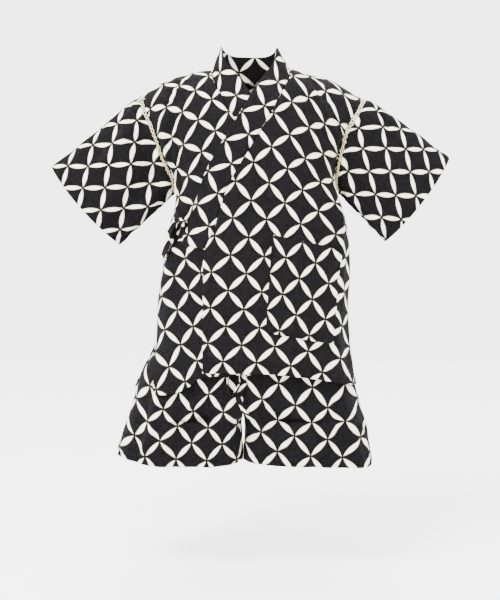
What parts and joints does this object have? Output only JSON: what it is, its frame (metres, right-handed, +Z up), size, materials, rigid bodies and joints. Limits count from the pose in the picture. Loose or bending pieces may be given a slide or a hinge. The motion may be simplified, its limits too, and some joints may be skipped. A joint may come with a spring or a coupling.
{
  "type": "jinbei set",
  "caption": "Child's jinbei: wrap jacket with short sleeves joined by openwork lacing, side ties and a patch pocket, worn over shorts with an elastic waist.",
  "frame": {"origin": "between the two shoulder points at the base of the neck, where a body or a hanger holds the jacket", "axes": "+Z up, the front faces -Y, +X is the wearer's left"},
  "size_m": [0.6294, 0.2043, 0.6683],
  "materials": {
    "cotton": "matte printed cotton with a slub weave, charcoal with cream interlocking circles",
    "lacing": "matte twisted cotton cord"
  },
  "bodies": {
    "root": {"back": "cotton", "front_left": "cotton", "front_right": "cotton", "collar": "cotton", "sleeve_left": "cotton", "sleeve_right": "cotton", "pocket": "cotton", "tie_front": "cotton", "tie_side": "cotton", "tie_knot": "cotton", "tie_loop_high": "cotton", "tie_loop_low": "cotton", "leg_left": "cotton", "leg_right": "cotton", "waistband": "cotton", "waist_tie_knot": "cotton", "waist_tie_loop": "cotton", "waist_tie_end": "cotton", "lace_left": "lacing", "lace_right": "lacing"}
  },
  "joints": []
}
